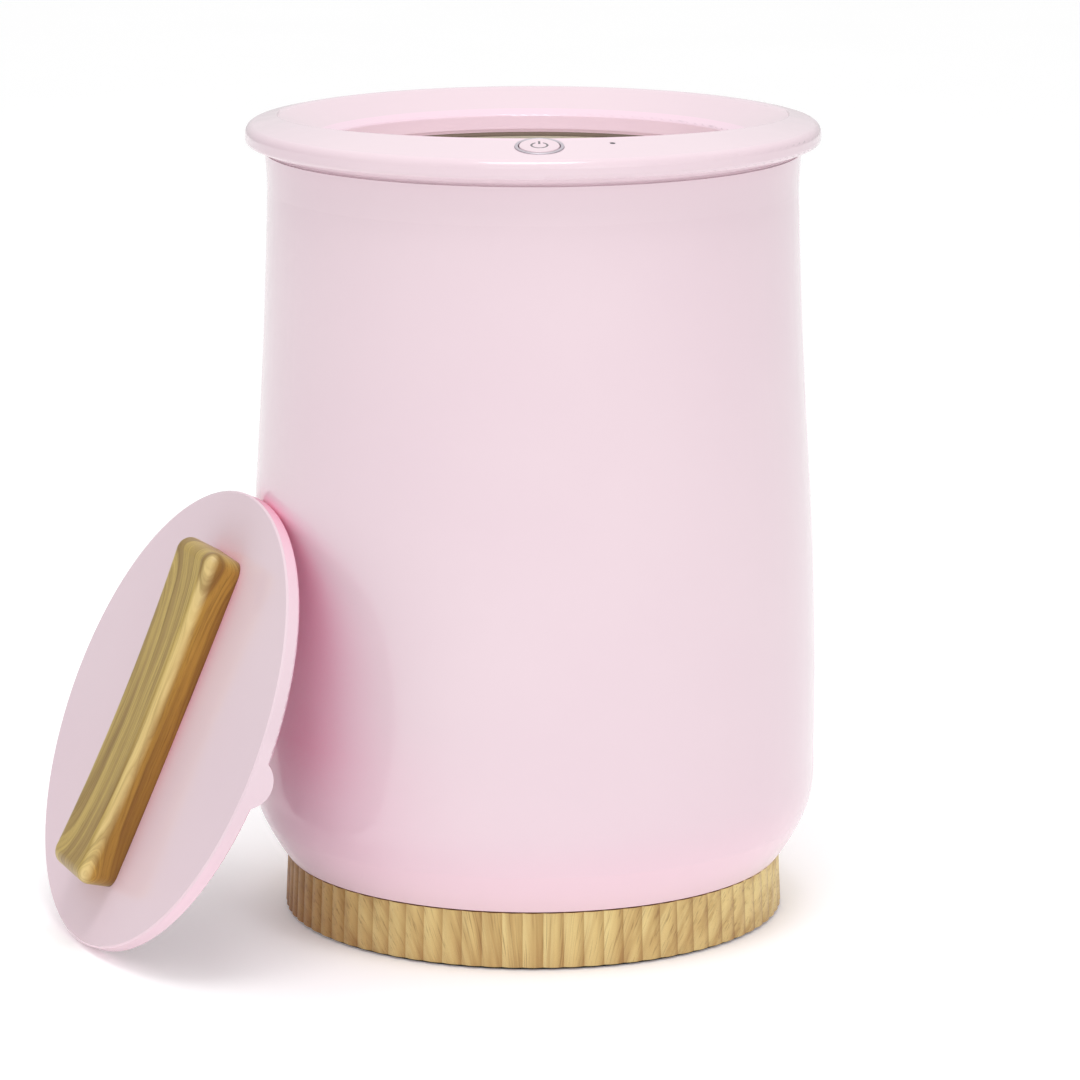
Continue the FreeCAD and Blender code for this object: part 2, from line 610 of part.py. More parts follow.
def make_chamber():
    inner, outer = "chamber_radius", "chamber_radius + chamber_sheet"
    wall = turned("chamber_tube", [
        (inner, "chamber_foot"), (outer, "chamber_foot"), (outer, "chamber_top - chamber_sheet"),
        ("land_radius", "chamber_top - chamber_sheet"), ("land_radius", "chamber_top"),
        (f"{inner} + 1.2", "chamber_top"), (inner, "chamber_top - 1.2", -1.2)])
    screw_places = ring_places(size("chamber_screw_circle"), SCREW_COUNT, FIRST_SCREW_ANGLE, size("chamber_top - 4"))
    holes = [cylinder("flange_hole", 1.6, 8, place) for place in screw_places]
    keep(cut("chamber_wall", wall, fused("flange_holes", holes)), "chamber_wall")

    under = "chamber_bottom - floor_sheet"
    dish = turned("floor_dish", [
        (0, under), (f"{inner} - floor_sheet", under), (f"{inner} - floor_sheet", "chamber_foot"),
        (inner, "chamber_foot"), (inner, "chamber_bottom"), (0, "chamber_bottom")])
    studs = [dish]
    for x, y in FLOOR_STUDS:
        studs.append(cylinder("floor_stud", 1.5, 6.5, at(x, y, size(under) - 6)))
    keep(fused("chamber_floor", studs), "chamber_floor")

    gasket = turned("gasket_ring", [
        (f"{inner} + 1.5", "chamber_top"), ("land_radius", "chamber_top"), ("land_radius", "land_bottom"),
        (f"{inner} + 1.5", "land_bottom")])
    holes = [cylinder("gasket_hole", 1.6, 8, place) for place in screw_places]
    keep(cut("chamber_gasket", gasket, fused("gasket_holes", holes)), "chamber_gasket")
    places = ring_places(size("chamber_screw_circle"), SCREW_COUNT, FIRST_SCREW_ANGLE,
                         size("chamber_top - chamber_sheet"))
    group("chamber_screws", pan_screw(1.5, 10, 2.8, 2.0), places)

    post = Part.makeCylinder(6, size(under) - size("shell_bottom"))
    group("chamber_spacers", post, ring_places(95, 3, -90.0, size("shell_bottom")))


STRAP_SHEET = 0.6


def make_heater():
    outer = "chamber_radius + chamber_sheet"
    band = turned("heater_tube", [
        (outer, "heater_bottom"), (f"{outer} + heater_sheet", "heater_bottom"),
        (f"{outer} + heater_sheet", "heater_top"), (outer, "heater_top")])
    gap = block("heater_gap", 30, 8, 400, at(115, 0, 50))
    keep(cut("heater_band", band, gap), "heater_band")
    grip = size(f"{outer} + heater_sheet")
    rings = []
    for height in (135, 220, 305):
        strap = Part.makeCylinder(grip + STRAP_SHEET, 10, Vector(0, 0, height))
        rings.append(strap.cut(Part.makeCylinder(grip, 12, Vector(0, 0, height - 1))))
    straps = doc.addObject("Part::Feature", "strap_set")
    straps.Shape = Part.makeCompound(rings)
    keep(straps, "heater_straps")
    inner = f"{outer} + heater_sheet + {STRAP_SHEET}"
    blanket = turned("blanket_tube", [
        (inner, "blanket_bottom"), ("blanket_outer", "blanket_bottom"), ("blanket_outer", "blanket_top"),
        (inner, "blanket_top")])
    slot_turn = Rotation(UP, 33)
    spot = slot_turn.multVec(Vector(size("blanket_outer"), 0, 0))
    slot = block("lead_slot", 24, 9, 30, at(spot.x, spot.y, size("heater_bottom") - 28, slot_turn))
    keep(cut("insulation_blanket", blanket, slot), "insulation_blanket")


FLOOR_STUDS = [(48, -45), (72, -45), (-60, -55), (-40, 60)]
NUT_HEIGHT = 2.4


def make_floor_controls():
    """Thermostat, thermal fuse, sensor and earth tag, all held to the underside of the chamber floor."""
    floor = size("chamber_bottom - floor_sheet")
    flange = block("thermostat_flange", 32, 12, 1, at(60, -45, floor - 1))
    can = cylinder("thermostat_can", 8, 9, at(60, -45, floor - 9))
    holes = [cylinder("thermostat_hole", 1.6, 6, at(x, -45, floor - 4)) for x in (48, 72)]
    keep(cut("thermostat", fused("thermostat_body", [flange, can]), fused("thermostat_holes", holes)),
         "thermostat")

    fuse_turn = Rotation(Vector(0, 1, 0), 90)
    keep(cylinder("fuse_case", 2.5, 14, at(-67, -45, floor - 2.5, fuse_turn)), "thermal_fuse")
    foot = block("clip_foot", 8, 10, 1, at(-60, -54, floor - 1))
    leg = block("clip_leg", 8, 1, 6, at(-60, -49, floor - 6))
    arm = block("clip_arm", 8, 7, 1, at(-60, -46, floor - 6))
    clip_hole = cylinder("clip_hole", 1.6, 6, at(-60, -55, floor - 4))
    keep(cut("fuse_clip", fused("clip_strip", [foot, leg, arm]), clip_hole), "fuse_clip")

    keep(cylinder("sensor_case", 2.5, 18, at(-9, 75, floor - 2.5, fuse_turn)), "temperature_sensor")
    tag = block("earth_strip", 8, 20, 1, at(-40, 54, floor - 1))
    keep(cut("earth_tag", tag, cylinder("tag_hole", 1.6, 6, at(-40, 60, floor - 4))), "earth_tag")

    corners = [Vector(3.2 * math.cos(math.radians(60 * k)), 3.2 * math.sin(math.radians(60 * k)), 0)
               for k in range(7)]
    nut = Part.Face(Part.makePolygon(corners)).extrude(Vector(0, 0, NUT_HEIGHT))
    nut = nut.cut(Part.makeCylinder(1.5, NUT_HEIGHT))
    group("floor_nuts", nut, [at(x, y, floor - 1 - NUT_HEIGHT) for x, y in FLOOR_STUDS])


# ---------------------------------------------------------------- power inlet and leads

PIN_PLACES = (-5.2, 5.2)


def make_inlet():
    face, height = size("inlet_face"), size("inlet_height")
    flange = block("inlet_flange", 32, 2, 22, at(0, face + 1, height - 11))
    case = block("inlet_case", 24, 18.5, 16, at(0, face - 8.75, height - 8))
    sideways = Rotation(Vector(1, 0, 0), 90)
    mouth = [block("mouth_middle", 8.4, 14, 10, at(0, face - 4.5, height - 5))]
    for x in (-4.2, 4.2):
        mouth.append(cylinder("mouth_end", 5, 14, at(x, face + 2.5, height, sideways)))
    for x in PIN_PLACES:
        mouth.append(cylinder("pin_hole", 1.2, 30, at(x, face + 3, height, sideways)))
    keep(cut("power_inlet", fused("inlet_body", [flange, case]), fused("inlet_mouth", mouth)), "power_inlet")
    pin = Part.makeCylinder(1.2, 17, Vector(0, 0, 0), Vector(0, -1, 0))
    group("inlet_pins", pin, [at(x, face - 3.5, height) for x in PIN_PLACES])


def make_leads():
    height = size("inlet_height")
    back = size("inlet_face") - 21.6
    low, way_in = 50.0, 22.5
    for label, x, entry in (("live_lead", PIN_PLACES[0], 8), ("neutral_lead", PIN_PLACES[1], 16)):
        tube(label, [(x, back, height), (x, back - 0.3, 62), (x, 62, low), (entry, 33, 47), (entry, way_in, 47)],
             1.1, 4)
    tube("heater_lead", [(32, way_in, 47), (32, 36, 47), (70, 62, low), (98.8, 64.2, 60), (98.8, 64.2, 88),
                         (97.9, 62.9, size("heater_bottom"))], 0.9, 5)
    start = PANEL.multiply(at(6, 2, -size("control_board_drop") - 2.0)).Base
    tube("control_lead", [(start.x, start.y, start.z), (start.x, -124.5, 405), (start.x, -124.5, 394),
                          (start.x, -129.6, 372), (start.x, -129.6, 66), (start.x, -100, low), (34, -40, low),
                          (34, 14, low)],
         0.9, 8)


# ---------------------------------------------------------------- lid

FACE_EDGE = "(lid_radius - 0.9)"
FACE_ARC = f"(({FACE_EDGE} * {FACE_EDGE} + lid_dish * lid_dish) / (2 * lid_dish))"
HANDLE_SCREWS = (-60, 60)


def make_lid():
    band_inner = "lid_radius - 3"
    disc = turned("lid_disc", [
        (0, "-lid_face"), (band_inner, "-lid_face"), (band_inner, "-lid_band"),
        ("lid_radius - 1.6", "-lid_band"), ("lid_radius", "-lid_band + 1.6", -1.6),
        ("lid_radius", -0.9), (FACE_EDGE, 0), (0, "-lid_dish", FACE_ARC)])
    lug_ring = turned("lug_ring", [
        ("lid_radius - 5", "-lid_lug - 2"), ("lid_radius", "-lid_lug - 2"), ("lid_radius", "-lid_face"),
        ("lid_radius - 5", "-lid_face")])
    spokes = []
    for turn in (90, 210, 330):
        lying = Rotation(UP, turn).multiply(Rotation(Vector(0, 1, 0), 90))
        middle = size("lug_round - lid_lug")
        spokes.append(cylinder("lug_spoke", "lug_round", 140, at(0, 0, middle, lying)))
    lugs = common("lid_lugs", [lug_ring, fused("lug_spokes", spokes)])
    posts = [disc, lugs]
    for place in ring_places(100, 4, 45.0, -size("lid_band") + 2):
        posts.append(cylinder("liner_boss", 4, "lid_band - 4", place))
    holes = []
    for place in ring_places(100, 4, 45.0, -size("lid_band")):
        holes.append(cylinder("liner_pilot", 1.45, "lid_band - 1.6", place))
    for x in HANDLE_SCREWS:
        holes.append(cylinder("handle_hole", 2.2, "lid_face + 2", at(x, 0, -size("lid_face") - 1)))
    keep(cut("lid_cap", fused("lid_with_bosses", posts), fused("lid_holes", holes)), "lid_cap", LID)

    felt = cylinder("felt_disc", "lid_radius - 5.5", "6 - lid_face", at(z=-6.0))
    cuts = [cylinder("felt_relief", 4.4, 4, place) for place in ring_places(100, 4, 45.0, -6.5)]
    cuts += [cylinder("felt_screw_relief", 6, 4, at(x, 0, -6.5)) for x in HANDLE_SCREWS]
    keep(cut("lid_insulation", felt, fused("felt_cuts", cuts)), "lid_insulation", LID)

    tray = turned("liner_disc", [
        (0, -7), ("lid_radius - 8.5", -7), ("lid_radius - 8.5", -8.2), ("lid_radius - 7.5", -8.2),
        ("lid_radius - 7.5", -6), (0, -6)])
    cuts = [cylinder("liner_hole", 1.6, 4, place) for place in ring_places(100, 4, 45.0, -8.5)]
    keep(cut("lid_liner", tray, fused("liner_cuts", cuts)), "lid_liner", LID)

    group("liner_screws", pan_screw(1.45, 5, 2.8, 1.7),
          [LID.multiply(place) for place in ring_places(100, 4, 45.0, -7)])
    washer = Part.makeCylinder(5, 0.6).cut(Part.makeCylinder(2.2, 0.6))
    group("handle_washers", washer, [LID.multiply(at(x, 0, -size("lid_face") - 0.6)) for x in HANDLE_SCREWS])
    group("handle_screws", pan_screw(2.0, 15, 3.7, 1.9),
          [LID.multiply(at(x, 0, -size("lid_face") - 0.6)) for x in HANDLE_SCREWS])


def make_handle():
    half, tall = "handle_length / 2", "handle_end_height"
    dip = "(handle_end_height - handle_middle_height)"
    reach = f"((handle_length / 2) * (handle_length / 2) / (2 * {dip}) + {dip} / 2)"
    foot = f"({half} - handle_end_slant)"
    bar = plate("handle_bar", [(f"-{foot}", -3), (foot, -3), (half, tall), (f"-({half})", tall, reach)],
                "handle_foot_width", "XZ_Plane")
    doc.recompute()
    sides = [f"Face{number}" for number, face in enumerate(bar.Shape.Faces, start=1)
             if face.BoundBox.YLength < 0.001]
    base = bar.Tip
    splay = bar.newObject("PartDesign::Draft", "handle_sides")
    splay.Base = (base, sides)
    splay.NeutralPlane = (origin_plane(bar, "XY_Plane"), [""])
    splay.Reversed = True
    splay.setExpression("Angle", bind("handle_splay"))
    for name, radius in (("handle_corners", "handle_corner"), ("handle_edges", "handle_round")):
        doc.recompute()
        chosen = []
        for number, edge in enumerate(bar.Shape.Edges, start=1):
            low, high = edge.BoundBox.ZMin, edge.BoundBox.ZMax
            if name == "handle_corners" and high - low > 10:
                chosen.append(f"Edge{number}")
            if name == "handle_edges" and low > size("handle_middle_height") - 1:
                chosen.append(f"Edge{number}")
        base = bar.Tip
        rounding = bar.newObject("PartDesign::Fillet", name)
        rounding.Base = (base, chosen)
        rounding.setExpression("Radius", bind(radius))
    cuts = [turned("handle_seat", [
        (0, -20), (FACE_EDGE, -20), (FACE_EDGE, 0), (0, "-lid_dish", FACE_ARC)])]
    cuts += [cylinder("handle_pilot", 2.0, 17, at(x, 0, -5)) for x in HANDLE_SCREWS]
    keep(cut("lid_handle", bar, fused("handle_cuts", cuts)), "lid_handle", LID)


# ---------------------------------------------------------------- build, check, write

make_base_ring()
make_non_slip_ring()
make_ring_screws()
make_bottom_pan()
make_power_board()
make_shell()
finish_collar(make_collar())
make_collar_screws()
make_panel_pieces()
make_chamber()
make_heater()
make_floor_controls()
make_inlet()
make_leads()
make_lid()
make_handle()
doc.recompute()

faults = [item.Label for item in doc.Objects if "Invalid" in item.State or "Error" in item.State]
for item in parts:
    if item.Shape.isNull() or not item.Shape.isValid() or not item.Shape.Solids:
        faults.append(item.Label + " shape")
if faults:
    raise RuntimeError("these objects failed: " + ", ".join(faults))

os.makedirs("parts", exist_ok=True)
for item in parts:
    item.Shape.exportStep(os.path.join("parts", item.Label + ".step"))
print(len(parts), "sub-parts written")
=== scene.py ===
"""Bucket towel warmer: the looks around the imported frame.

Metres, +Z up, origin on the drum's axis at the surface it stands on, control panel towards -Y.
Every visible surface is a node of the frame. This script gives each node its material, and makes
the camera, the floor and the lights.
"""

import json
import math

import bmesh
import bpy
from mathutils import Matrix, Vector


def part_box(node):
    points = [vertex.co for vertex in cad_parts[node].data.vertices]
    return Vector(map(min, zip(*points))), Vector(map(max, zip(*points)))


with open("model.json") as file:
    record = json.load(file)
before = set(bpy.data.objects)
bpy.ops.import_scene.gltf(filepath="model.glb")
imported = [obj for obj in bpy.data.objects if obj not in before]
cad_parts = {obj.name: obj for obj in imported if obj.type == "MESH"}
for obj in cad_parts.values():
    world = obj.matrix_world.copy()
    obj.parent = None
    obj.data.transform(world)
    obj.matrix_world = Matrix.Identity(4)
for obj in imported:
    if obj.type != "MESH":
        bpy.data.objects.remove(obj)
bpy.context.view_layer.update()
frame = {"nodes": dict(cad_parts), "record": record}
NODES = frame["nodes"]
MM = 0.001


# ---------------------------------------------------------------- places on the object

def middle(node):
    low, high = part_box(node)
    return (low + high) / 2


def rotation(axis, degrees):
    return Matrix.Rotation(math.radians(degrees), 4, axis)


# The leaning lid's own frame: its face's centre, how far it leans back, which way it faces and
# how far it has rolled. The handle lies along X, and Z comes out of the face.
LID_LEAN, LID_BEARING, LID_ROLL = 66.6, 25.3, -2.7
LID_FACE_CENTRE = Vector((-193.45, -65.1, 116.97)) * MM
LID_POSE = (Matrix.Translation(LID_FACE_CENTRE) @ rotation("Z", 180 + LID_BEARING)
            @ rotation("Y", LID_LEAN) @ rotation("Z", LID_ROLL))

# The power button's own frame on the sloping panel: Y points up the slope, Z comes out of it.
PANEL_SLOPE = 0.195
BUTTON_CENTRE = middle("button_bezel")
PANEL_BEARING = math.degrees(math.atan2(BUTTON_CENTRE.x, -BUTTON_CENTRE.y))
PANEL_POSE = (Matrix.Translation(BUTTON_CENTRE) @ rotation("Z", PANEL_BEARING)
              @ rotation("X", math.degrees(math.atan(PANEL_SLOPE))))

SEAM_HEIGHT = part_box("outer_shell")[1].z
RING_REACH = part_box("base_ring")[1].x
THROAT_EDGE = 118.0 * MM


# ---------------------------------------------------------------- camera

CAMERA_PLACE = (0.0036, -2.589, 0.7562)
CAMERA_DIP = 12.18
CAMERA_LENS = 166.4


def make_camera():
    """The photograph's view: from the front, a little above the rim, through a long lens."""
    data = bpy.data.cameras.new("camera")
    data.sensor_width = 36.0
    data.lens = CAMERA_LENS
    data.clip_end = 20.0
    camera = bpy.data.objects.new("camera", data)
    camera.location = CAMERA_PLACE
    camera.rotation_euler = (math.radians(90 - CAMERA_DIP), 0, 0)
    bpy.context.scene.collection.objects.link(camera)
    bpy.context.scene.camera = camera


make_camera()


# ---------------------------------------------------------------- node recipes

def srgb(red, green, blue):
    """Linear colour from the 0-255 values that a screen shows."""
    def linear(value):
        value /= 255
        return value / 12.92 if value <= 0.04045 else ((value + 0.055) / 1.055) ** 2.4
    return linear(red), linear(green), linear(blue), 1.0


def dimmed(colour, share):
    return (*(channel * share for channel in colour[:3]), 1.0)


def rubbed(colour):
    return (*(min(1.0, channel * 1.5 + 0.01) for channel in colour[:3]), 1.0)


class Recipe:
    """Short hand for one material's nodes. A call returns the socket that the next call takes."""

    def __init__(self, name, **settings):
        self.material = bpy.data.materials.new(name)
        self.material.use_nodes = True
        self.tree = self.material.node_tree
        self.shader = self.tree.nodes["Principled BSDF"]
        for socket, value in settings.items():
            self.set(self.shader, socket.replace("_", " "), value)
        self.position = self.add("ShaderNodeTexCoord").outputs["Object"]

    def set(self, node, socket, value):
        target = node.inputs[socket]
        if isinstance(value, bpy.types.NodeSocket):
            self.tree.links.new(value, target)
        else:
            target.default_value = value

    def add(self, kind, inputs=None, **settings):
        node = self.tree.nodes.new(kind)
        for name, value in settings.items():
            setattr(node, name, value)
        for socket, value in (inputs or {}).items():
            self.set(node, socket, value)
        return node

    def maths(self, operation, *values):
        return self.add("ShaderNodeMath", dict(enumerate(values)), operation=operation).outputs[0]

    def times(self, first, second):
        return self.maths("MULTIPLY", first, second)

    def plus(self, first, second):
        return self.maths("ADD", first, second)

    def length(self, first, second):
        """The distance that two steps at right angles make."""
        return self.maths("SQRT", self.plus(self.times(first, first), self.times(second, second)))

    def split(self, vector):
        return self.add("ShaderNodeSeparateXYZ", {0: vector}).outputs

    def join(self, x=0.0, y=0.0, z=0.0):
        return self.add("ShaderNodeCombineXYZ", {0: x, 1: y, 2: z}).outputs[0]

    def along(self, vector, direction):
        """How far the vector goes in a fixed direction."""
        node = self.add("ShaderNodeVectorMath", {0: vector, 1: tuple(direction)}, operation="DOT_PRODUCT")
        return node.outputs["Value"]

    def seen_from(self, pose):
        """The position's three coordinates in the frame of a pose."""
        return [self.plus(self.along(self.position, row[:3]), row[3]) for row in pose.inverted()[:3]]

    def noise(self, vector, scale, detail=3.0, roughness=0.5, distortion=0.0):
        return self.add("ShaderNodeTexNoise", {
            "Vector": vector, "Scale": scale, "Detail": detail, "Roughness": roughness,
            "Distortion": distortion}).outputs["Fac"]

    def spots(self, vector, scale):
        return self.add("ShaderNodeTexVoronoi", {"Vector": vector, "Scale": scale}).outputs["Distance"]

    def ramp(self, factor, *stops):
        """Colour bands: each stop is (place, colour)."""
        node = self.add("ShaderNodeValToRGB", {"Fac": factor})
        elements = node.color_ramp.elements
        while len(elements) < len(stops):
            elements.new(0.5)
        for element, (place, colour) in zip(elements, stops):
            element.position = place
            element.color = colour
        return node.outputs["Color"]

    def blend(self, factor, first, second, mode="MIX"):
        node = self.add("ShaderNodeMix", data_type="RGBA", blend_type=mode)
        self.set(node, "Factor", factor)
        self.set(node, 6, first)
        self.set(node, 7, second)
        return node.outputs[2]

    def span(self, factor, source, target=(0.0, 1.0)):
        """A number that goes through the target range as the factor goes through the source range."""
        return self.add("ShaderNodeMapRange", {
            "Value": factor, "From Min": source[0], "From Max": source[1],
            "To Min": target[0], "To Max": target[1]}).outputs[0]

    def bump(self, height, depth, strength):
        return self.add("ShaderNodeBump", {
            "Height": height, "Distance": depth, "Strength": strength}).outputs["Normal"]

    def trapped(self, reach, low, high):
        """1 where no more than the low share of the sky is open, 0 from the high share on."""
        open_sky = self.add("ShaderNodeAmbientOcclusion", {"Distance": reach}, samples=6).outputs["AO"]
        return self.span(open_sky, (low, high), (1.0, 0.0))

    def finish(self, colour, roughness, normal=None):
        self.set(self.shader, "Base Color", colour)
        self.set(self.shader, "Roughness", roughness)
        if normal is not None:
            self.set(self.shader, "Normal", normal)
        return self.material


# ---------------------------------------------------------------- pink plastic and the power symbol

SEAM_FADE = 30.0 * MM
FLOOR_FADE = (30.0 * MM, 110.0 * MM)
# Painted light: inside the throat the colour is lighter and pinker, standing in for light that bounces
# round in it.
THROAT_PAINTED_LIGHT = srgb(246, 211, 229)
THROAT_LIGHT_SHARE = 0.55

MARK_RADIUS, MARK_STROKE, MARK_GAP = 4.0 * MM, 1.1 * MM, 3.6 * MM
MARK_COLOUR = srgb(92, 84, 90)


def moulded_pink(name, light, deep, painted_half_shade, painted_deep_shade, marked=False):
    """Glossy moulded ABS: a slow drift of tone and a faint orange peel.

    Painted shade: enclosed places outside go to a painted half shade and then to a painted deep
    shade, pinker as light that bounces between pink walls comes back pinker, less so near the seam
    and the floor. The throat is painted lighter and pinker all over, a painted bounce light.
    """
    r = Recipe(name, IOR=1.5, Coat_Weight=0.3, Coat_Roughness=0.04)
    drift = r.noise(r.position, scale=7.0, detail=2.0)
    polish = r.noise(r.position, scale=60.0, detail=4.0)
    peel = r.noise(r.position, scale=900.0, detail=1.0)
    colour = r.blend(r.span(drift, (0.35, 0.65)), light, deep)
    x, y, z = r.split(r.position)
    outside = r.maths("GREATER_THAN", r.length(x, y), THROAT_EDGE)
    # Painted light: the throat is painted lighter and pinker.
    colour = r.blend(r.span(outside, (0.0, 1.0), (THROAT_LIGHT_SHARE, 0.0)), colour, THROAT_PAINTED_LIGHT)
    below_seam = r.span(z, (SEAM_HEIGHT - SEAM_FADE, SEAM_HEIGHT), (1.0, 0.08))
    off_floor = r.span(z, FLOOR_FADE, (0.2, 1.0))
    where = r.times(outside, r.times(below_seam, off_floor))
    # Painted shade: where the sky is shut out, the colour goes to the painted half shade and then the
    # painted deep shade.
    painted_shade_share = r.times(where, r.trapped(reach=0.14, low=0.10, high=0.84))
    colour = r.blend(r.span(painted_shade_share, (0.0, 0.5)), colour, painted_half_shade)
    colour = r.blend(r.span(painted_shade_share, (0.5, 1.0)), colour, painted_deep_shade)
    if marked:
        colour = r.blend(power_mark(r), colour, MARK_COLOUR)
    return r.finish(colour, r.span(polish, (0.3, 0.7), (0.13, 0.22)), r.bump(peel, 0.00002, 0.35))


def power_mark(r):
    """The usual power symbol: a ring open at its top, with a stroke standing in the gap."""
    x, y, _ = r.seen_from(PANEL_POSE)
    off_ring = r.maths("ABSOLUTE", r.maths("SUBTRACT", r.length(x, y), MARK_RADIUS))
    ring = r.maths("LESS_THAN", off_ring, MARK_STROKE / 2)
    aside = r.maths("ABSOLUTE", x)
    gap = r.times(r.maths("LESS_THAN", aside, MARK_GAP / 2), r.maths("GREATER_THAN", y, 0.0))
    off_stroke = r.maths("ABSOLUTE", r.maths("SUBTRACT", y, MARK_RADIUS))
    stroke = r.times(r.maths("LESS_THAN", aside, MARK_STROKE / 2),
                     r.maths("LESS_THAN", off_stroke, MARK_RADIUS * 0.55))
    return r.maths("MAXIMUM", r.times(ring, r.maths("SUBTRACT", 1.0, gap)), stroke)


# ---------------------------------------------------------------- woods

FLUTES = 78
FAN_DEPTH = 140.0 * MM
FAN_RADIUS = 160.0 * MM


def ring_wood():
    """Fluted base ring: rays that fan out upwards over the front, fine dark growth lines, a painted
    lit side and painted shade on each flute, painted shadow towards -X, where the lid shades it,
    and painted shade in the crease."""
    r = Recipe("ring_wood", IOR=1.46, Coat_Weight=0.08, Coat_Roughness=0.35)
    x, y, z = r.split(r.position)
    fan = r.times(r.maths("ARCTAN2", x, r.plus(z, FAN_DEPTH)), FAN_RADIUS)
    wander = r.noise(r.join(fan, r.times(z, 0.3), r.times(y, 0.3)), scale=60.0, detail=2.0)
    across = r.maths("MULTIPLY_ADD", wander, 4.0 * MM, fan)

    def grain(upwards, inwards, scale, detail):
        """Noise drawn out along the rays: the shares say how much it changes with height and depth."""
        return r.noise(r.join(across, r.times(z, upwards), r.times(y, inwards)), scale, detail)

    broad = grain(0.05, 0.4, scale=150.0, detail=2.0)
    streak = grain(0.04, 0.4, scale=560.0, detail=3.0)
    line = grain(0.02, 0.3, scale=1500.0, detail=2.0)
    colour = r.ramp(broad, (0.32, srgb(200, 168, 108)), (0.48, srgb(222, 196, 134)),
                    (0.64, srgb(236, 214, 150)))
    colour = r.blend(r.span(streak, (0.48, 0.70), (0.0, 0.6)), colour, srgb(234, 216, 156))
    colour = r.blend(r.span(line, (0.56, 0.74), (0.0, 0.6)), colour, srgb(146, 108, 58))

    # Painted light and shade: each flute gets a painted lit side and a painted shaded side.
    turn = r.times(r.maths("ARCTAN2", x, r.times(y, -1.0)), FLUTES / (2 * math.pi))
    phase = r.maths("FRACT", r.plus(turn, 0.5))
    shade = r.ramp(phase, (0.0, srgb(255, 255, 250)), (0.14, srgb(255, 252, 244)),
                   (0.6, srgb(244, 234, 216)), (0.97, srgb(204, 180, 146)))
    colour = r.blend(0.8, colour, shade, mode="MULTIPLY")
    # Painted shadow: the wood is darkened towards -X, where the lid shades it.
    painted_darkening = r.span(x, (-RING_REACH, -0.6 * RING_REACH), (0.9, 0.0))
    colour = r.blend(painted_darkening, colour, srgb(206, 168, 122), mode="MULTIPLY")
    # Painted shade: dark brown where the sky is shut out, in the crease under the drum.
    colour = r.blend(r.trapped(reach=0.05, low=0.05, high=0.62), colour, srgb(138, 66, 26))
    relief = r.plus(streak, r.times(line, 0.7))
    return r.finish(colour, r.span(streak, (0.3, 0.7), (0.4, 0.55)), r.bump(relief, 0.00025, 0.3))


# The growth rings' centre is this far to the handle's side and below the lid's face. Bow and dip
# bend the rings along the bar, as its top bends, so that they close into loops at its ends.
RINGS_ASIDE, RINGS_BELOW = 30.0 * MM, 14.0 * MM
END_BOW, TOP_DIP = 190.0, 0.38


def handle_wood():
    """Oiled hardwood bar: growth rings cut lengthwise, with painted shade on its sides, a painted
    highlight on its rounded edges and painted shade where it meets the lid."""
    r = Recipe("handle_wood", IOR=1.46, Coat_Weight=0.12, Coat_Roughness=0.28)
    x, y, z = r.seen_from(LID_POSE)
    squared = r.times(x, x)
    bowed = r.times(squared, r.maths("MULTIPLY_ADD", squared, END_BOW, -TOP_DIP))
    depth = r.plus(r.plus(z, RINGS_BELOW), bowed)
    aside = r.plus(y, RINGS_ASIDE)
    wander = r.noise(r.join(r.times(x, 0.25), y, z), scale=70.0, detail=3.0)
    growth = r.maths("MULTIPLY_ADD", wander, 4.0 * MM, r.length(aside, depth))
    slow = r.noise(r.join(growth, r.times(x, 0.02), 0.0), scale=260.0, detail=2.0)
    quick = r.noise(r.join(growth, r.times(x, 0.01), 0.4), scale=1100.0, detail=3.0)
    pores = r.noise(r.join(r.times(x, 0.06), y, z), scale=2200.0, detail=2.0)
    colour = r.ramp(slow, (0.34, srgb(148, 117, 58)), (0.48, srgb(172, 143, 72)),
                    (0.62, srgb(194, 166, 88)))
    colour = r.blend(r.span(quick, (0.48, 0.66), (0.0, 0.65)), colour, srgb(132, 104, 46))
    colour = r.blend(r.span(pores, (0.56, 0.72), (0.0, 0.35)), colour, srgb(112, 80, 34))

    facing = r.add("ShaderNodeNewGeometry").outputs["Normal"]
    side = r.maths("ABSOLUTE", r.along(facing, LID_POSE.col[1][:3]))
    level = r.along(facing, LID_POSE.col[2][:3])
    edge = r.times(r.span(side, (0.15, 0.5)), r.span(level, (0.1, 0.6)))
    # Painted shade: the bar's sides are painted darker brown.
    painted_darkening = r.span(side, (0.55, 0.95), (0.0, 0.85))
    colour = r.blend(painted_darkening, colour, srgb(246, 214, 142), mode="MULTIPLY")
    # Painted highlight: the rounded edges are painted paler.
    painted_edge_highlight = r.times(edge, r.span(quick, (0.4, 0.66), (0.75, 0.3)))
    colour = r.blend(painted_edge_highlight, colour, srgb(236, 210, 144))
    # Painted shade: dark brown where the sky is shut out, where the bar meets the lid.
    colour = r.blend(r.trapped(reach=0.006, low=0.1, high=0.7), colour, srgb(104, 66, 32))
    return r.finish(colour, r.span(quick, (0.3, 0.7), (0.34, 0.5)), r.bump(quick, 0.0002, 0.3))


# ---------------------------------------------------------------- metals, plastics, cloth, boards

def spun_aluminium(name, tint, rough, bare=1.0):
    """Drawn sheet: fine rings round the axis and a faint bloom. A low `bare` is a thicker oxide."""
    r = Recipe(name, Metallic=bare, Anisotropic=0.5)
    rings = r.noise(r.join(z=r.split(r.position)[2]), scale=2600.0, detail=3.0)
    bloom = r.noise(r.position, scale=14.0, detail=4.0)
    colour = r.blend(r.span(bloom, (0.3, 0.7)), tint, dimmed(tint, 0.82))
    gloss = r.span(rings, (0.3, 0.7), (rough - 0.06, rough + 0.08))
    return r.finish(colour, gloss, r.bump(rings, 0.00004, 0.4))


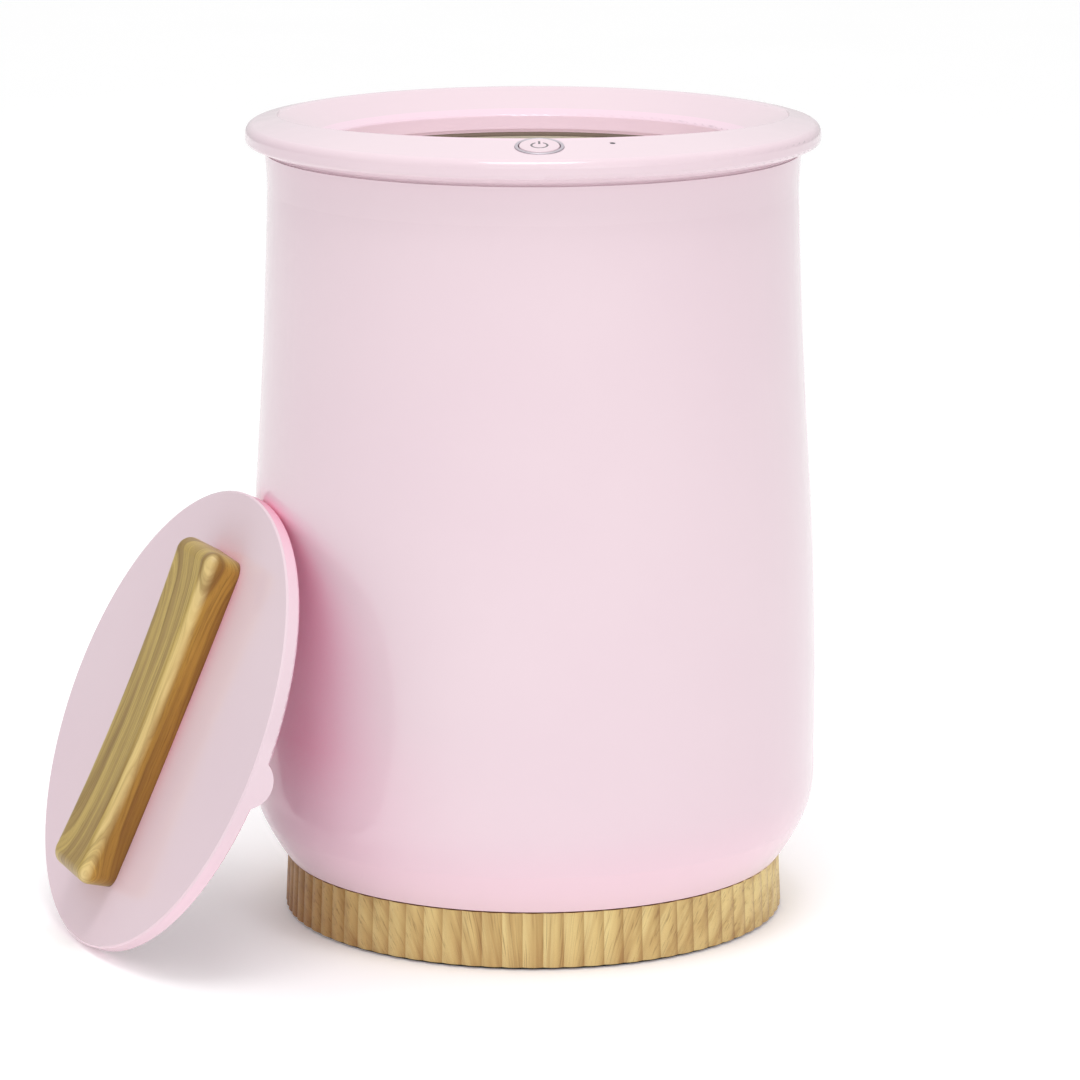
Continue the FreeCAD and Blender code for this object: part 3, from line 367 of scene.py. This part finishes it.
def plain_steel(name, tint, rough):
    """Rolled or turned metal with fine upright scratches."""
    r = Recipe(name, Metallic=1.0)
    x, y, z = r.split(r.position)
    scratches = r.noise(r.join(x, y, r.times(z, 0.08)), scale=1400.0, detail=2.0)
    colour = r.blend(scratches, tint, dimmed(tint, 0.85))
    gloss = r.span(scratches, (0.3, 0.7), (rough - 0.08, rough + 0.1))
    return r.finish(colour, gloss, r.bump(scratches, 0.00003, 0.4))


def textured_plastic(name, tint, rough=0.5):
    """Spark-eroded mould texture with rubbed patches."""
    r = Recipe(name, IOR=1.5)
    pits = r.spots(r.position, scale=1700.0)
    wear = r.noise(r.position, scale=45.0, detail=4.0)
    colour = r.blend(r.span(wear, (0.4, 0.7), (0.0, 0.5)), tint, rubbed(tint))
    gloss = r.span(wear, (0.3, 0.7), (rough - 0.08, rough + 0.12))
    return r.finish(colour, gloss, r.bump(pits, 0.00008, 0.5))


def felt(name, tint):
    """Matted fibres with a soft sheen."""
    r = Recipe(name, Sheen_Weight=0.4, Sheen_Roughness=0.5)
    fibres = r.noise(r.position, scale=800.0, detail=6.0, roughness=0.7, distortion=1.5)
    mats = r.noise(r.position, scale=60.0, detail=3.0)
    colour = r.blend(r.span(mats, (0.3, 0.7)), tint, dimmed(tint, 0.78))
    return r.finish(colour, 0.9, r.bump(fibres, 0.0006, 0.7))


def soft_rubber(name, tint):
    """Matt rubber with a little dust on it."""
    r = Recipe(name, IOR=1.45)
    grain = r.noise(r.position, scale=1200.0, detail=4.0)
    dust = r.noise(r.position, scale=30.0, detail=5.0)
    colour = r.blend(r.span(dust, (0.5, 0.8), (0.0, 0.35)), tint, srgb(120, 116, 112))
    return r.finish(colour, r.span(grain, (0.3, 0.7), (0.55, 0.8)), r.bump(grain, 0.00008, 0.5))


def solder_mask(name):
    """Green laminate with copper tracks that show through as a lighter green."""
    r = Recipe(name, Coat_Weight=0.5, Coat_Roughness=0.15)
    tracks = r.add("ShaderNodeTexBrick", {
        "Vector": r.position, "Scale": 160.0, "Mortar Size": 0.06, "Mortar Smooth": 0.1},
        offset=0.5).outputs["Fac"]
    colour = r.blend(tracks, srgb(18, 84, 44), srgb(48, 128, 70))
    return r.finish(colour, 0.35, r.bump(tracks, 0.00004, 0.5))


def smoked_lens(name):
    """Dark, slightly cloudy lens that lets some light through."""
    r = Recipe(name, IOR=1.5, Transmission_Weight=0.35, Coat_Weight=0.5)
    cloud = r.noise(r.position, scale=400.0, detail=2.0)
    colour = r.blend(cloud, srgb(74, 66, 74), srgb(104, 92, 104))
    return r.finish(colour, r.span(cloud, (0.0, 1.0), (0.12, 0.25)))


# ---------------------------------------------------------------- one material for each slot

MATERIALS = {
    # The last two colours of pink_plastic and button_plastic are painted shade for enclosed places.
    "pink_plastic": moulded_pink(
        "pink_plastic", light=srgb(233, 211, 219), deep=srgb(231, 208, 217),
        painted_half_shade=srgb(250, 204, 221), painted_deep_shade=srgb(255, 150, 186)),
    "button_plastic": moulded_pink(
        "button_plastic", light=srgb(230, 208, 216), deep=srgb(228, 204, 213),
        painted_half_shade=srgb(216, 186, 197), painted_deep_shade=srgb(190, 150, 165), marked=True),
    "ring_wood": ring_wood(),
    "handle_wood": handle_wood(),
    "bezel_metal": plain_steel("bezel_metal", srgb(214, 206, 214), 0.42),
    "strap_steel": plain_steel("strap_steel", srgb(196, 196, 200), 0.3),
    "screw_steel": plain_steel("screw_steel", srgb(186, 188, 192), 0.28),
    "pin_brass": plain_steel("pin_brass", srgb(214, 184, 120), 0.24),
    "chamber_metal": spun_aluminium("chamber_metal", srgb(196, 188, 168), 0.5, bare=0.6),
    "liner_metal": spun_aluminium("liner_metal", srgb(205, 205, 208), 0.34),
    "black_rubber": soft_rubber("black_rubber", srgb(38, 38, 38)),
    "silicone": soft_rubber("silicone", srgb(136, 120, 108)),
    "lead_sheath": soft_rubber("lead_sheath", srgb(120, 34, 30)),
    "insulation_cloth": felt("insulation_cloth", srgb(228, 224, 210)),
    "pan_plastic": textured_plastic("pan_plastic", srgb(54, 54, 58)),
    "inlet_plastic": textured_plastic("inlet_plastic", srgb(36, 36, 38), 0.42),
    "component_body": textured_plastic("component_body", srgb(120, 96, 44), 0.45),
    "board_laminate": solder_mask("board_laminate"),
    "lens_plastic": smoked_lens("lens_plastic"),
}

for entry in frame["record"]["subparts"]:
    mesh = NODES[entry["node"]].data
    mesh.materials.clear()
    mesh.materials.append(MATERIALS[entry["material_slot"]])


# ---------------------------------------------------------------- floor, lights and studio

FLOOR_HALF = 6.0
FLOOR_GLOW = 0.15

# How bright the studio is to the sides, how bright ahead and behind, and what height adds.
WORLD_SIDES, WORLD_AHEAD, WORLD_RISE = 0.38, 0.70, 0.45

# Area lights: name, place, point aimed at, width and height, watts. The last one fills the throat.
LIGHTS = (
    ("key", (1.5, -2.2, 1.5), (0, 0, 0.2), (1.2, 1.6), 4),
    ("front", (-0.5, -2.9, 1.0), (0, 0, 0.2), (1.0, 1.0), 2.5),
    ("top", (0, -0.7, 2.2), (0, 0.05, 0.35), (0.9, 0.8), 12),
    ("throat_glow", (0, -0.075, 0.315), (0, 0.11, 0.405), (0.19, 0.03), 0.19),
)


def make_floor():
    """A plain white floor that glows faintly, so that it stays white around the soft shadow."""
    mesh = bpy.data.meshes.new("floor")
    shape = bmesh.new()
    bmesh.ops.create_grid(shape, x_segments=4, y_segments=4, size=FLOOR_HALF)
    shape.to_mesh(mesh)
    shape.free()
    floor = bpy.data.objects.new("floor", mesh)
    bpy.context.scene.collection.objects.link(floor)
    r = Recipe("floor_white", Emission_Color=(1, 1, 1, 1), Emission_Strength=FLOOR_GLOW)
    cloud = r.noise(r.position, scale=3.0, detail=2.0)
    mesh.materials.append(r.finish(r.blend(cloud, srgb(250, 250, 250), srgb(253, 253, 253)), 0.6))


def make_light(name, place, target, size, watts):
    data = bpy.data.lights.new(name, "AREA")
    data.shape = "RECTANGLE"
    data.size, data.size_y = size
    data.energy = watts
    light = bpy.data.objects.new(name, data)
    light.location = place
    light.rotation_euler = (Vector(target) - Vector(place)).to_track_quat("-Z", "Y").to_euler()
    light.visible_camera = False
    bpy.context.scene.collection.objects.link(light)


def make_world():
    """A white studio, dimmer to the left and right than in front and behind, and brighter above."""
    world = bpy.data.worlds.new("studio")
    bpy.context.scene.world = world
    world.use_nodes = True
    nodes, links = world.node_tree.nodes, world.node_tree.links
    direction = nodes.new("ShaderNodeSeparateXYZ")
    links.new(nodes.new("ShaderNodeTexCoord").outputs["Generated"], direction.inputs[0])
    aside = nodes.new("ShaderNodeMath")
    aside.operation = "ABSOLUTE"
    links.new(direction.outputs[0], aside.inputs[0])
    level = nodes.new("ShaderNodeMapRange")
    level.inputs["To Min"].default_value = WORLD_AHEAD
    level.inputs["To Max"].default_value = WORLD_SIDES
    links.new(aside.outputs[0], level.inputs["Value"])
    lift = nodes.new("ShaderNodeMath")
    lift.operation = "MULTIPLY_ADD"
    lift.inputs[1].default_value = WORLD_RISE
    links.new(direction.outputs[2], lift.inputs[0])
    links.new(level.outputs[0], lift.inputs[2])
    background = nodes["Background"]
    background.inputs["Color"].default_value = (1, 1, 1, 1)
    links.new(lift.outputs[0], background.inputs["Strength"])


make_floor()
make_world()
for light_settings in LIGHTS:
    make_light(*light_settings)
bpy.context.scene.view_settings.view_transform = "Standard"
